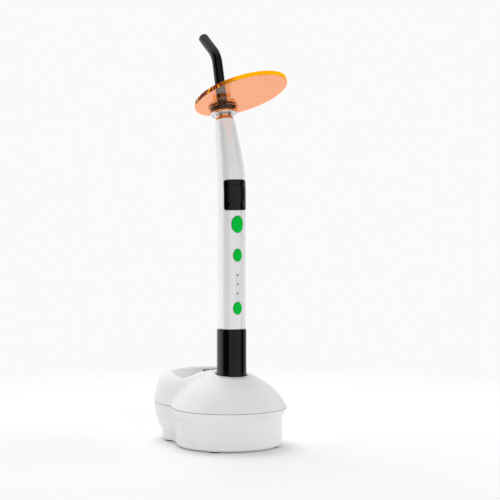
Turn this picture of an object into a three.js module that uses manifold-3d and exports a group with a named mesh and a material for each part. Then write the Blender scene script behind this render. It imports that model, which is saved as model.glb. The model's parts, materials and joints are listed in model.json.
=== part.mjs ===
// Cordless dental curing light standing in its charging base.
// Millimetres, +Z up, buttons and display facing -Y. The origin is at the centre of the
// whole object's footprint, on the surface that the base stands on.

import * as THREE from 'three';
import { mergeVertices } from 'three/addons/utils/BufferGeometryUtils.js';
import Module from 'manifold-3d';

const wasm = await Module();
wasm.setup();

// ---- driving dimensions --------------------------------------------------------------

const HANDPIECE_Y = -10.7; // handpiece axis, from the centre of the footprint
const GAP = 0.3; // clearance between pieces that touch

// Handpiece, measured along its own axis from the standing surface.
const SLEEVE_R = 12.0;
const SLEEVE_WALL = 1.8;
const PACK_BOTTOM = 17.0;
const PACK_TOP = 95.0;
const BODY_R = 11.2;
const BODY_WALL = 1.4;
const BODY_BOTTOM = PACK_TOP + GAP;
const BODY_TOP = 264.9;
const TILT = THREE.MathUtils.degToRad(15);
const TILT_PIVOT_Z = 217.5;
const BEND_TANGENT = 17.5;
const BEND_START = TILT_PIVOT_Z - BEND_TANGENT;
const BEND_RADIUS = BEND_TANGENT / Math.tan(TILT / 2);

const WINDOW = { low: 191.1, high: 214.0, halfAngle: 59, inner: 10.0, outer: 11.6 };
const SCREEN = { low: 197.8, high: 209.5, halfAngle: 40, inner: 9.2, outer: 11.95 };
const BUTTONS = [
  { name: 'power', z: 179.6, halfWidth: 5.2, halfHeight: 6.6, proud: 0.6 },
  { name: 'mode', z: 154.8, halfWidth: 3.75, halfHeight: 4.85, proud: 0.5 },
  { name: 'time', z: 112.2, halfWidth: 3.75, halfHeight: 4.85, proud: 0.5 },
];
const LIGHT_PIPE = { low: 118.0, high: 139.5, halfWidth: 1.3, proud: 0.1, back: 9.8 };

// Nose, measured along the tilted axis from the tilt pivot.
const NOSE_RING_BOTTOM = 44.3;
const BAND = { low: 47.9, edge: 48.3, high: 49.9, radius: 7.4, topRadius: 6.5 };
const NECK_R = 6.2;
const NOSE_SPIGOT_R = 6.3;
const CLIP_GROOVE = { low: 48.1, high: 50.2, radius: 6.4, lead: 0.2 };
const FLANGE = { low: 52.0, high: 54.0, radius: 11.0 };
const NOSE_BORE_R = 5.45;
const FERRULE = { low: 44.6, high: 62.6, inner: 4.5, outer: 5.0 };
const SHIELD = { low: 57.8, thick: 3.2, halfWidth: 31.4, halfLength: 53.2, forward: 31.6 };
const HUB = { low: 54.3, high: 62.6, outer: 11.75, bore: 7.2 };
const GUIDE = { low: 45.2, bendStart: 95.5, bendRadius: 20, bendAngle: 41, tip: 21.4 };
const GUIDE_R = 4.2;
const CORE_R = 3.2;

// Charging base. The front drum holds the handpiece; the rear pod holds the open dish.
const FRONT_Y = 4.5;
const REAR_Y = 44.2;
const BASE_WALL = 2.2;
const FLOOR_LOW = 1.3;
const FLOOR_HIGH = 4.1;
const SEAM_Z = 31.2;
const DRUM_R = 43.2;
const RIM_R = 47.0;
const PEDESTAL_R = 37.5;
const POD_R = 44.2;
const LIP_R = 12.6;
const LIP_TILT = 6; // degrees
const LIP_OUTLINE = [
  [LIP_R - 1, 54], [18.2, 54], [17.6, 56.4], [16.2, 57.8], [14.6, 58.2], [LIP_R, 57.0],
  [LIP_R - 1, 55.5],
];
const DISH = { y: 46, z: 60, halfWidth: 30, halfLength: 22.5, depth: 24, wall: 2 };
// The dish's rim dips on both sides, where the pod meets the dome.
const SADDLE = { x: 26, y: 34, z: 59.5, halfWidth: 11, halfLength: 11, depth: 6.6 };
const RIDGE = { low: 52, high: 59.9, halfWidth: 19, halfLength: 3.4 };
const STATUS_Y = 20.5;
const STATUS_TOP = 60.6;
const STATUS_LIGHTS = [
  { name: 'status_light_power', x: -14.9, radius: 0.75 },
  { name: 'status_light_charge', x: -12.9, radius: 0.75 },
  { name: 'status_light_ready', x: -10.6, radius: 0.95 },
];
const STATUS_LOW = 56;
const BAR = { halfWidth: 8.2, halfLength: 1, thick: 1.5 };
const SOCKET = { low: 13.7, high: 53.6, floor: 1.9, inner: 12.5, outer: 14.3 };
const BALLAST = { inner: 8, outer: 27.5, high: 7.5 };
const CHARGER_BOARD = {
  top: 9.6, thick: 1.6, halfWidth: 15, front: -12, shoulder: 62, tongue: 6, back: 77,
};
const CONTACT_BLOCK = { left: -4, right: 11, halfLength: 4 };
const CHARGE_PIN = { low: 11.2, high: 16.6, radius: 1, tip: 0.4, sideX: 7 };
const POSTS = [[-31, -6], [31, -6], [-21, 67], [21, 67]];
const POST = { radius: 2.6, holeR: 1.3, holeTop: 18 };
const SCREW = { headR: 2.5, headLow: 1.6, headHigh: 2.9, shankR: 1, shankHigh: 14, tip: 14.6 };
const SCREW_HOLE = { headR: 2.9, headHigh: 3.2, shankR: 1.5, high: 8 };
const FOOT_R = 4.4;
const FOOT_TOP = 1.9;
const FEET = [[-26, -22], [26, -22], [-32, 46], [32, 46]];
const JACK = {
  y: 67, faceY: 79, noseY: 84.6, z: 15.4, top: 20.9, halfWidth: 4.5, noseR: 4.05, holeR: 4.4,
  boreR: 2.75, boreY: 72,
};

// Battery pack, along the handpiece axis.
const CELL = { low: 23.4, high: 88.4, radius: 9.2, button: 3, shoulder: 1.5 };
const PACK_NECK = { radius: 8.0, high: 101.4 };
const END_CAP = { skirt: 2, plugTop: 21.4, contactHole: 2.5, ringInner: 5.7, ringOuter: 8.3, ringDeep: 1.3 };
const PROTECTION_BOARD = { low: 21.8, high: 22.9, radius: 9.4 };
const CENTRE_CONTACT_R = 2.2;
const RING_CONTACT = { inner: 6, outer: 8, thick: 1 };
const TOP_CONTACT = { radius: 1.3, hole: 1.6, proud: 0.6 };

// Inside the main body.
const SWITCH = { half: 3, front: -5.6, back: -2.7, plungerR: 1.6, plungerFront: -7.7 };
const BUTTON_FLANGE = 1;
const BUTTON_INNER_R = 8.9;
const FLANGE_INNER_R = 8.6;
const DISPLAY_MODULE = { halfWidth: 4.2, front: -7.5, back: -5.6, low: 198, high: 209 };
const MAIN_BOARD = { halfWidth: 7, front: -2.4, back: -0.8, low: 107, high: 196 };
const BEEPER = { radius: 4.5, front: -0.5, back: 3, z: 135 };
const CONTACT_SPRING = { inner: 1.0, outer: 2.4, low: 102.4, high: 106.2 };
const THREAD_RING = { inner: 8.35, outer: 9.45, high: 102, step: 0.4 };

// Optics and heat sink, along the nose axis.
const HEAT_SINK = { low: 12, high: 36.4, fins: 4, pitch: 5.4, fin: 2.4, finR: 6.4, core: 4.6, headR: 6.2 };
const LED_BOARD = { low: 36.7, high: 38.0, radius: 6.2 };
const LED_CHIP = { low: 38.3, high: 39.5, half: 1.8 };
const LENS_HOLDER = { inner: 4.0, outer: 5.9 };
const LENS_OUTLINE = [[0, 39.8], [3.7, 39.8], [3.7, 40.8], [3.0, 42.2], [1.6, 43.1], [0, 43.4]];
const RETAINING_RING = { inner: 5.3, outer: 6.1, low: 48.7, high: 49.6 };
const BUSH = { inner: 5.3, outer: 6.9, inset: 0.2, topInset: 0.4 };

// ---- materials -----------------------------------------------------------------------

const finish = (color, roughness, metalness = 0) =>
  new THREE.MeshStandardMaterial({ color, roughness, metalness });

const SATIN_SILVER = finish(0xc9cacc, 0.28, 0.85);
const BLACK_GLOSS = finish(0x101011, 0.15);
const BLACK_GLASS = finish(0x060607, 0.08);
const WHITE_ABS = finish(0xe9e9e8, 0.35);
const AMBER = finish(0xff8a2a, 0.08);
const CHROME = finish(0xd8d8da, 0.08, 1);
const GREEN_RUBBER = finish(0x0aa64a, 0.45);
const BLACK_RUBBER = finish(0x161616, 0.75);
const CLEAR = finish(0xdfe6ea, 0.05);
const BRASS = finish(0xc8a24a, 0.3, 1);
const ALUMINIUM = finish(0xa9abad, 0.4, 1);
const STEEL = finish(0x8d8f92, 0.35, 1);
const BOARD_GREEN = finish(0x1d5a38, 0.5);
const CELL_BLUE = finish(0x2c5d8f, 0.4);
const LAMP_WHITE = finish(0xf3f1e2, 0.3);

// ---- solid helpers -------------------------------------------------------------------

// A closed three.js geometry as a solid: seams welded, slivers on the axis dropped, and
// the faces turned outward.
function solidOf(geometry) {
  const bare = geometry.clone();
  bare.deleteAttribute('normal');
  bare.deleteAttribute('uv');
  const welded = mergeVertices(bare, 1e-4);
  const position = welded.attributes.position;
  const corners = [0, 1, 2].map(() => new THREE.Vector3());
  const triangles = [];
  let volume = 0;
  for (let i = 0; i < welded.index.count; i += 3) {
    const ids = [0, 1, 2].map((k) => welded.index.getX(i + k));
    if (new Set(ids).size < 3) continue;
    ids.forEach((id, k) => corners[k].fromBufferAttribute(position, id));
    volume += corners[0].dot(corners[1].clone().cross(corners[2]));
    triangles.push(ids);
  }
  if (volume < 0) triangles.forEach((ids) => ids.reverse());
  return new wasm.Manifold(new wasm.Mesh({
    numProp: 3,
    vertProperties: new Float32Array(position.array),
    triVerts: new Uint32Array(triangles.flat()),
  }));
}

function geometryOf(solid) {
  const mesh = solid.getMesh();
  const geometry = new THREE.BufferGeometry();
  geometry.setAttribute('position', new THREE.BufferAttribute(mesh.vertProperties, 3));
  geometry.setIndex(new THREE.BufferAttribute(mesh.triVerts, 1));
  geometry.computeVertexNormals();
  return geometry;
}

// A [radius, height] outline turned about the Z axis. An outline that leaves the axis
// closes on itself, as a ring does.
function latheGeometry(outline, segments) {
  const points = outline.map(([r, z]) => new THREE.Vector2(r, z));
  if (outline[0][0] > 0) points.push(points[0].clone());
  return new THREE.LatheGeometry(points, segments).rotateX(Math.PI / 2);
}

const turned = (outline, segments = 20) => solidOf(latheGeometry(outline, segments));

const rod = (radius, low, high, segments = 16) =>
  turned([[0, low], [radius, low], [radius, high], [0, high]], segments);

const tube = (inner, outer, low, high, segments = 20) =>
  turned([[inner, low], [outer, low], [outer, high], [inner, high]], segments);

function box(x0, x1, y0, y1, z0, z1) {
  const geometry = new THREE.BoxGeometry(x1 - x0, y1 - y0, z1 - z0);
  return solidOf(geometry.translate((x0 + x1) / 2, (y0 + y1) / 2, (z0 + z1) / 2));
}

function prism(shape, low, high, curveSegments = 10) {
  const options = { depth: high - low, bevelEnabled: false, curveSegments };
  return solidOf(new THREE.ExtrudeGeometry(shape, options).translate(0, 0, low));
}

function oval(halfX, halfY, centreX = 0, centreY = 0) {
  const shape = new THREE.Shape();
  shape.absellipse(centreX, centreY, halfX, halfY, 0, Math.PI * 2);
  return shape;
}

// Turns a solid modelled along +Z so that it points along +Y.
const alongY = (solid) => solid.rotate([-90, 0, 0]);

// Bends geometry built along a straight Z axis: straight to `start`, an arc towards +Y,
// then straight on.
function bend(geometry, start, radius, angle) {
  const position = geometry.attributes.position;
  for (let i = 0; i < position.count; i += 1) {
    const past = position.getZ(i) - start;
    if (past > 0) {
      const turn = Math.min(past / radius, angle);
      const beyond = Math.max(past - radius * angle, 0);
      const reach = radius - position.getY(i);
      const y = radius - reach * Math.cos(turn) + beyond * Math.sin(turn);
      const z = start + reach * Math.sin(turn) + beyond * Math.cos(turn);
      position.setXYZ(i, position.getX(i), y, z);
    }
  }
  return geometry;
}

const bodyBend = (outline, segments) =>
  solidOf(bend(latheGeometry(outline, segments), BEND_START, BEND_RADIUS, TILT));

// Places where a bent outline needs rings, from low to high with the arc in `count` steps.
function bendStations(low, high, start, arc, count) {
  const arcs = Array.from({ length: count + 1 }, (_, i) => start + (arc * i) / count);
  return [low, ...arcs.filter((z) => z > low + 1 && z < high - 1), high];
}

const wedge = (halfAngleDegrees, reach = 30) => {
  const half = THREE.MathUtils.degToRad(halfAngleDegrees);
  const shape = new THREE.Shape();
  shape.moveTo(0, 0);
  shape.lineTo(-reach * Math.sin(half), -reach * Math.cos(half));
  shape.lineTo(0, -reach * 2);
  shape.lineTo(reach * Math.sin(half), -reach * Math.cos(half));
  shape.closePath();
  return prism(shape, WINDOW.low - 20, WINDOW.high + 20);
};

const groups = {
  base: new THREE.Group(),
  pack: new THREE.Group(),
  body: new THREE.Group(),
  nose: new THREE.Group(),
};

function add(groupName, name, solid, material, place = [0, 0, 0]) {
  const mesh = new THREE.Mesh(geometryOf(solid), material);
  mesh.name = name;
  mesh.position.set(...place);
  groups[groupName].add(mesh);
}

// ---- charging base -------------------------------------------------------------------

const FRONT_OUTLINE = [
  [0, FLOOR_LOW], [DRUM_R - 0.8, FLOOR_LOW], [DRUM_R, FLOOR_LOW + 0.8], [DRUM_R, 24.0],
  [DRUM_R + 1.3, 26.4], [RIM_R, SEAM_Z - 0.4], [RIM_R, SEAM_Z + 0.5],
  [44.7, 35.4], [41.4, 40.1], [37.2, 44.9], [30.9, 50.3], [22.0, 54.9], [0, 57.2],
];
const REAR_OUTLINE = [
  [0, FLOOR_LOW], [PEDESTAL_R - 0.6, FLOOR_LOW], [PEDESTAL_R, FLOOR_LOW + 0.6],
  [PEDESTAL_R, 8.5], [41.0, 13.6], [43.2, 21], [POD_R, 32], [43.0, 42], [41.2, 47.6],
  [39.2, 52.0], [35.5, 55.4], [31.5, 56.8], [0, 56.8],
];

// The hollow inside an outline, one wall thickness in from its side and its top.
function hollowOutline(outline) {
  const top = outline[outline.length - 1][1] - BASE_WALL;
  const side = outline.filter(([r, z]) => r > BASE_WALL + 9 && z > FLOOR_HIGH);
  const inner = side.map(([r, z]) => [r - BASE_WALL, z > SEAM_Z + 5 ? z - BASE_WALL * 0.6 : z]);
  const rings = inner.filter(([, z]) => z < top - 0.2);
  const low = outline[2][0] - BASE_WALL;
  const [lastR] = rings[rings.length - 1];
  return [[0, FLOOR_HIGH], [low, FLOOR_HIGH], ...rings, [lastR - 2, top], [0, top]];
}

const baseLobe = (outline, y) => turned(outline, 32).translate([0, y, 0]);

function ellipsoid({ x = 0, y, z, halfWidth, halfLength, depth }, grow, segments = 24) {
  const sphere = new THREE.SphereGeometry(1, segments, 10);
  sphere.rotateX(Math.PI / 2);
  sphere.scale(halfWidth + grow, halfLength + grow, depth + grow);
  return solidOf(sphere.translate(x, y, z));
}

const saddles = (grow) => ellipsoid(SADDLE, grow, 16)
  .add(ellipsoid({ ...SADDLE, x: -SADDLE.x }, grow, 16));

const baseOuter = baseLobe(FRONT_OUTLINE, FRONT_Y).add(baseLobe(REAR_OUTLINE, REAR_Y));
const baseInner = baseLobe(hollowOutline(FRONT_OUTLINE), FRONT_Y)
  .add(baseLobe(hollowOutline(REAR_OUTLINE), REAR_Y));
const everythingAbove = (z) => box(-60, 60, -60, 100, z, 90);
const everythingBelow = (z) => box(-60, 60, -60, 100, -10, z);

function makeUpperCover() {
  const lip = turned(LIP_OUTLINE, 32).rotate([LIP_TILT, 0, 0]);
  const ridgeShape = oval(RIDGE.halfWidth, RIDGE.halfLength, 0, STATUS_Y);
  const ridge = prism(ridgeShape, RIDGE.low, RIDGE.high);
  const hollow = baseInner.subtract(ellipsoid(DISH, DISH.wall)).subtract(saddles(BASE_WALL));
  let cover = baseOuter.subtract(saddles(0)).add(lip).add(ridge);
  cover = cover.subtract(everythingBelow(SEAM_Z + GAP / 2)).subtract(hollow);
  for (const [x, y] of POSTS) {
    const post = rod(POST.radius, FLOOR_HIGH + GAP, 57, 10);
    const screwHole = rod(POST.holeR, 0, POST.holeTop, 10);
    cover = cover.add(post.subtract(screwHole).translate([x, y, 0]).intersect(baseOuter));
  }
  cover = cover.subtract(ellipsoid(DISH, 0)).subtract(rod(LIP_R, 40, 70, 32));
  for (const { x, radius } of STATUS_LIGHTS) {
    const hole = rod(radius + GAP, STATUS_LOW - 6, 70, 12);
    cover = cover.subtract(hole.translate([x, STATUS_Y, 0]));
  }
  const slotX = BAR.halfWidth + GAP;
  const slotY = BAR.halfLength + GAP;
  const slotLow = STATUS_TOP - BAR.thick - GAP;
  return cover.subtract(box(-slotX, slotX, STATUS_Y - slotY, STATUS_Y + slotY, slotLow, 70));
}

function makeLowerHousing() {
  let housing = baseOuter.subtract(everythingAbove(SEAM_Z - GAP / 2)).subtract(baseInner);
  for (const [x, y] of POSTS) {
    const hole = rod(SCREW_HOLE.shankR, 0, SCREW_HOLE.high, 10)
      .add(rod(SCREW_HOLE.headR, 0, SCREW_HOLE.headHigh, 10));
    housing = housing.subtract(hole.translate([x, y, 0]));
  }
  for (const [x, y] of FEET) {
    housing = housing.subtract(rod(FOOT_R + GAP, 0, FOOT_TOP + GAP, 16).translate([x, y, 0]));
  }
  const jackHole = alongY(rod(JACK.holeR, JACK.faceY - 6, JACK.noseY + 8, 16));
  return housing.subtract(jackHole.translate([0, 0, JACK.z]));
}

// The same hole or pin at the two charge contacts.
const atBothPins = (solid) => solid.add(solid.translate([CHARGE_PIN.sideX, 0, 0]));

function makeHandpieceSocket() {
  const floorTop = SOCKET.low + SOCKET.floor;
  const cup = turned([[0, SOCKET.low], [SOCKET.outer, SOCKET.low], [SOCKET.outer, SOCKET.high],
    [SOCKET.inner, SOCKET.high], [SOCKET.inner, floorTop], [0, floorTop]], 24);
  return cup.subtract(atBothPins(rod(CHARGE_PIN.radius + 0.4, 10, 20, 12)));
}

function makeChargerBoard() {
  const { top, thick, halfWidth, front, shoulder, tongue, back } = CHARGER_BOARD;
  const outline = new THREE.Shape();
  outline.moveTo(-halfWidth, front);
  outline.lineTo(halfWidth, front);
  outline.lineTo(halfWidth, shoulder);
  outline.lineTo(tongue, shoulder);
  outline.lineTo(tongue, back);
  outline.lineTo(-tongue, back);
  outline.lineTo(-tongue, shoulder);
  outline.lineTo(-halfWidth, shoulder);
  outline.closePath();
  return prism(outline, top - thick, top);
}

function makeContactBlock() {
  const { left, right, halfLength } = CONTACT_BLOCK;
  const low = CHARGER_BOARD.top + GAP;
  return box(left, right, -halfLength, halfLength, low, SOCKET.low - GAP)
    .subtract(atBothPins(rod(CHARGE_PIN.radius + 0.35, 0, 30, 12)));
}

function makePowerJack() {
  const shell = box(-JACK.halfWidth, JACK.halfWidth, JACK.y, JACK.faceY,
    CHARGER_BOARD.top + GAP, JACK.top);
  const nose = alongY(rod(JACK.noseR, JACK.faceY - 1, JACK.noseY, 16)).translate([0, 0, JACK.z]);
  const bore = alongY(rod(JACK.boreR, JACK.boreY, 90, 16)).translate([0, 0, JACK.z]);
  return shell.add(nose).subtract(bore);
}

function makeStatusLight(radius) {
  return turned([[0, STATUS_LOW], [radius, STATUS_LOW], [radius, STATUS_TOP - 0.3],
    [radius - 0.3, STATUS_TOP], [0, STATUS_TOP]], 12);
}

function makeScrew() {
  const { headR, headLow, headHigh, shankR, shankHigh, tip } = SCREW;
  return turned([[0, headLow], [headR, headLow], [headR, headHigh], [shankR, headHigh],
    [shankR, shankHigh], [0, tip]], 12);
}

function makeBase() {
  add('base', 'upper_cover', makeUpperCover(), WHITE_ABS);
  add('base', 'lower_housing', makeLowerHousing(), WHITE_ABS);
  add('base', 'handpiece_socket', makeHandpieceSocket(), WHITE_ABS);
  const ballast = tube(BALLAST.inner, BALLAST.outer, FLOOR_HIGH + GAP, BALLAST.high, 24);
  add('base', 'ballast_weight', ballast, STEEL);
  add('base', 'charger_board', makeChargerBoard(), BOARD_GREEN);
  add('base', 'power_jack', makePowerJack(), BLACK_GLOSS);
  add('base', 'contact_block', makeContactBlock(), BLACK_GLOSS);
  const { low, high, radius, tip, sideX } = CHARGE_PIN;
  const pin = turned([[0, low], [radius, low], [radius, high - tip], [radius - tip, high], [0, high]], 12);
  add('base', 'charge_pin_centre', pin, BRASS);
  add('base', 'charge_pin_side', pin, BRASS, [sideX, 0, 0]);
  for (const light of STATUS_LIGHTS) {
    add('base', light.name, makeStatusLight(light.radius), CLEAR, [light.x, STATUS_Y, 0]);
  }
  const bar = box(-BAR.halfWidth, BAR.halfWidth, STATUS_Y - BAR.halfLength,
    STATUS_Y + BAR.halfLength, STATUS_TOP - BAR.thick, STATUS_TOP);
  add('base', 'indicator_bar', bar, BLACK_GLOSS);
  const foot = turned([[0, 0], [FOOT_R - 0.3, 0], [FOOT_R, 0.4], [FOOT_R, FOOT_TOP], [0, FOOT_TOP]], 16);
  FEET.forEach(([x, y], i) => add('base', `foot_${i + 1}`, foot, BLACK_RUBBER, [x, y, 0]));
  POSTS.forEach(([x, y], i) => add('base', `cover_screw_${i + 1}`, makeScrew(), STEEL, [x, y, 0]));
}

// ---- battery pack --------------------------------------------------------------------

function makeEndCap(plugR) {
  const skirtTop = PACK_BOTTOM + END_CAP.skirt;
  const { plugTop, contactHole, ringInner, ringOuter, ringDeep } = END_CAP;
  return turned([[0, PACK_BOTTOM], [SLEEVE_R - 0.8, PACK_BOTTOM], [SLEEVE_R, PACK_BOTTOM + 0.8],
    [SLEEVE_R, skirtTop], [plugR, skirtTop], [plugR, plugTop], [0, plugTop]], 24)
    .subtract(rod(contactHole, 10, 30, 16))
    .subtract(tube(ringInner, ringOuter, 10, PACK_BOTTOM + ringDeep, 16));
}

function makeBatteryPack() {
  const inner = SLEEVE_R - SLEEVE_WALL;
  const sleeveLow = PACK_BOTTOM + END_CAP.skirt + GAP;
  const plugR = inner - GAP;
  add('pack', 'battery_sleeve', tube(inner, SLEEVE_R, sleeveLow, PACK_TOP - 0.2, 24), BLACK_GLOSS);
  add('pack', 'battery_end_cap', makeEndCap(plugR), BLACK_GLOSS);
  const centre = rod(CENTRE_CONTACT_R, PACK_BOTTOM, END_CAP.plugTop, 16);
  add('pack', 'charge_contact_centre', centre, BRASS);
  const ring = tube(RING_CONTACT.inner, RING_CONTACT.outer, PACK_BOTTOM,
    PACK_BOTTOM + RING_CONTACT.thick, 16);
  add('pack', 'charge_contact_ring', ring, BRASS);
  const board = rod(PROTECTION_BOARD.radius, PROTECTION_BOARD.low, PROTECTION_BOARD.high, 20);
  add('pack', 'protection_board', board, BOARD_GREEN);
  const shoulder = CELL.high - CELL.shoulder;
  const cell = turned([[0, CELL.low], [CELL.radius, CELL.low], [CELL.radius, shoulder],
    [CELL.button, shoulder], [CELL.button, CELL.high], [0, CELL.high]], 20);
  add('pack', 'battery_cell', cell, CELL_BLUE);
  const headLow = CELL.high + GAP;
  const shelf = PACK_TOP - 0.6;
  const head = turned([[TOP_CONTACT.hole, headLow], [plugR, headLow], [plugR, shelf],
    [PACK_NECK.radius, shelf], [PACK_NECK.radius, PACK_NECK.high],
    [TOP_CONTACT.hole, PACK_NECK.high]], 24);
  add('pack', 'battery_head_cap', head, BLACK_GLOSS);
  const contact = rod(TOP_CONTACT.radius, headLow, PACK_NECK.high + TOP_CONTACT.proud, 12);
  add('pack', 'battery_top_contact', contact, BRASS);
}

// ---- main body -----------------------------------------------------------------------

const BODY_PROFILE = [
  [BODY_R, BODY_BOTTOM], [BODY_R, BEND_START], [BODY_R, 209], [BODY_R, 218], [10.95, 226.4],
  [10.35, 235.0], [9.3, 250.0], [8.45, 261.5], [7.85, BODY_TOP],
];

// A slice of the body's wall in front of the axis, used for the window and its screen.
function wallSlice({ low, high, halfAngle, inner, outer }, clearance = 0) {
  const from = low - clearance;
  const to = high + clearance;
  const arc = BEND_RADIUS * TILT;
  const stations = bendStations(from, to, BEND_START, arc, 4);
  const outline = [...stations.map((z) => [outer, z]), ...stations.map((z) => [inner, z]).reverse()];
  const extraAngle = THREE.MathUtils.radToDeg(clearance / BODY_R);
  return bodyBend(outline, 24).intersect(wedge(halfAngle + extraAngle));
}

// An oval column that points out of the front of the body at the given height.
const ovalColumn = (halfWidth, halfHeight, z, inner, outer) =>
  alongY(prism(oval(halfWidth, halfHeight), -outer, -inner)).translate([0, 0, z]);

function makeBodyShell() {
  const inside = BODY_PROFILE.map(([r, z]) => [r - BODY_WALL, z]).reverse();
  inside[0][0] = NOSE_SPIGOT_R + 0.35;
  let shell = bodyBend([...BODY_PROFILE, ...inside], 24);
  shell = shell.subtract(wallSlice({ ...WINDOW, inner: 8, outer: 13 }, GAP));
  for (const { z, halfWidth, halfHeight } of BUTTONS) {
    shell = shell.subtract(ovalColumn(halfWidth + GAP, halfHeight + GAP, z, 2, 14));
  }
  const { low, high, halfWidth } = LIGHT_PIPE;
  return shell.subtract(box(-halfWidth - GAP, halfWidth + GAP, -14, -2, low - GAP, high + GAP));
}

function makeButton({ z, halfWidth, halfHeight, proud }) {
  const reachLow = z - 12;
  const reachHigh = z + 12;
  const cap = ovalColumn(halfWidth, halfHeight, z, 2, 14)
    .intersect(tube(BUTTON_INNER_R, BODY_R + proud, reachLow, reachHigh, 24));
  const flange = ovalColumn(halfWidth + BUTTON_FLANGE, halfHeight + BUTTON_FLANGE, z, 2, 14)
    .intersect(tube(FLANGE_INNER_R, BODY_R - BODY_WALL - GAP, reachLow, reachHigh, 24));
  return cap.add(flange);
}

function makeSwitch(z) {
  const { half, front, back, plungerR, plungerFront } = SWITCH;
  const plunger = alongY(rod(plungerR, plungerFront, front + 0.2, 12)).translate([0, 0, z]);
  return box(-half, half, front, back, z - half, z + half).add(plunger);
}

// A flat board or module across the body, given by its half width and its four sides.
const slab = ({ halfWidth, front, back, low, high }) =>
  box(-halfWidth, halfWidth, front, back, low, high);

function makeMainBody() {
  add('body', 'body_shell', makeBodyShell(), SATIN_SILVER);
  const screenCut = wallSlice({ ...SCREEN, inner: 8, outer: 13 }, GAP);
  add('body', 'display_bezel', wallSlice(WINDOW).subtract(screenCut), BLACK_GLOSS);
  add('body', 'display_lens', wallSlice(SCREEN), BLACK_GLASS);
  add('body', 'display_module', slab(DISPLAY_MODULE), BOARD_GREEN);
  add('body', 'main_board', slab(MAIN_BOARD), BOARD_GREEN);
  for (const button of BUTTONS) {
    add('body', `${button.name}_button`, makeButton(button), GREEN_RUBBER);
    add('body', `${button.name}_switch`, makeSwitch(button.z), STEEL);
  }
  const { low, high, halfWidth, proud, back } = LIGHT_PIPE;
  const strip = box(-halfWidth, halfWidth, -14, -back, low, high)
    .intersect(rod(BODY_R + proud, low - 1, high + 1, 24));
  add('body', 'mode_light_pipe', strip, LAMP_WHITE);
  const beeper = alongY(rod(BEEPER.radius, BEEPER.front, BEEPER.back, 16));
  add('body', 'beeper', beeper.translate([0, 0, BEEPER.z]), BLACK_GLOSS);
  const spring = CONTACT_SPRING;
  add('body', 'battery_contact_spring', tube(spring.inner, spring.outer, spring.low, spring.high, 12),
    BRASS);
  const thread = tube(THREAD_RING.inner, THREAD_RING.outer, BODY_BOTTOM + THREAD_RING.step,
    THREAD_RING.high, 24);
  add('body', 'body_thread_ring', thread, ALUMINIUM);
}

// ---- nose, light guide and shield ----------------------------------------------------

function makeHeatSink() {
  const { low, high, fins, pitch, fin, finR, core, headR } = HEAT_SINK;
  const outline = [[0, low]];
  for (let i = 0; i < fins; i += 1) {
    const z = low + i * pitch;
    outline.push([finR, z], [finR, z + fin], [core, z + fin], [core, z + pitch]);
  }
  outline.push([headR, low + fins * pitch], [headR, high], [0, high]);
  return turned(outline, 16);
}

function makeNoseRing() {
  const { low, high, radius, lead } = CLIP_GROOVE;
  return turned([
    [NOSE_BORE_R, NOSE_RING_BOTTOM], [NOSE_SPIGOT_R, NOSE_RING_BOTTOM],
    [NOSE_SPIGOT_R, BAND.low], [BAND.radius, BAND.low], [BAND.radius, BAND.edge],
    [BAND.topRadius, BAND.high], [NECK_R, BAND.high + GAP], [NECK_R, FLANGE.low - 0.2],
    [FLANGE.radius - 0.6, FLANGE.low], [FLANGE.radius, FLANGE.low + 0.5],
    [FLANGE.radius, FLANGE.high - 0.4], [FLANGE.radius - 0.5, FLANGE.high],
    [NOSE_BORE_R, FLANGE.high], [NOSE_BORE_R, high], [radius, high - lead],
    [radius, low + lead], [NOSE_BORE_R, low],
  ], 24);
}

function makeShield() {
  const plate = prism(oval(SHIELD.halfWidth, SHIELD.halfLength, 0, -SHIELD.forward),
    SHIELD.low, SHIELD.low + SHIELD.thick, 24);
  const hub = rod(HUB.outer, HUB.low, HUB.high, 24);
  return plate.add(hub).subtract(rod(HUB.bore, 0, 100, 24));
}

function guideRod(outer, inner, low, segments) {
  const angle = THREE.MathUtils.degToRad(GUIDE.bendAngle);
  const arc = GUIDE.bendRadius * angle;
  const high = GUIDE.bendStart + arc + GUIDE.tip;
  const stations = bendStations(low, high, GUIDE.bendStart, arc, 4);
  const side = stations.map((z) => [outer, z]);
  const back = stations.map((z) => [inner, z]).reverse();
  const outline = inner > 0 ? [...side, ...back] : [[0, low], ...side, [0, high]];
  const geometry = latheGeometry(outline, segments);
  return solidOf(bend(geometry, GUIDE.bendStart, GUIDE.bendRadius, angle));
}

function makeNose() {
  add('nose', 'heat_sink', makeHeatSink(), ALUMINIUM);
  add('nose', 'led_board', rod(LED_BOARD.radius, LED_BOARD.low, LED_BOARD.high, 20), ALUMINIUM);
  const { half } = LED_CHIP;
  add('nose', 'led_chip', box(-half, half, -half, half, LED_CHIP.low, LED_CHIP.high), LAMP_WHITE);
  const holder = tube(LENS_HOLDER.inner, LENS_HOLDER.outer, LED_CHIP.low,
    NOSE_RING_BOTTOM - GAP, 20);
  add('nose', 'lens_holder', holder, BLACK_GLOSS);
  add('nose', 'condenser_lens', turned(LENS_OUTLINE, 16), CLEAR);
  add('nose', 'nose_ring', makeNoseRing(), CHROME);
  const ring = RETAINING_RING;
  add('nose', 'guide_retaining_ring', tube(ring.inner, ring.outer, ring.low, ring.high, 20), BLACK_RUBBER);
  const { inner, outer, low, high } = FERRULE;
  add('nose', 'guide_ferrule', tube(inner, outer, low, high, 24), CHROME);
  add('nose', 'light_guide_sheath', guideRod(GUIDE_R, CORE_R + GAP, GUIDE.low, 20), BLACK_GLASS);
  add('nose', 'light_guide_core', guideRod(CORE_R, 0, GUIDE.low, 16), CLEAR);
  add('nose', 'light_shield', makeShield(), AMBER);
  const bush = tube(BUSH.inner, BUSH.outer, HUB.low + BUSH.inset, HUB.high - BUSH.topInset, 24);
  add('nose', 'shield_bush', bush, BLACK_RUBBER);
}

// ---- assembly ------------------------------------------------------------------------

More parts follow.
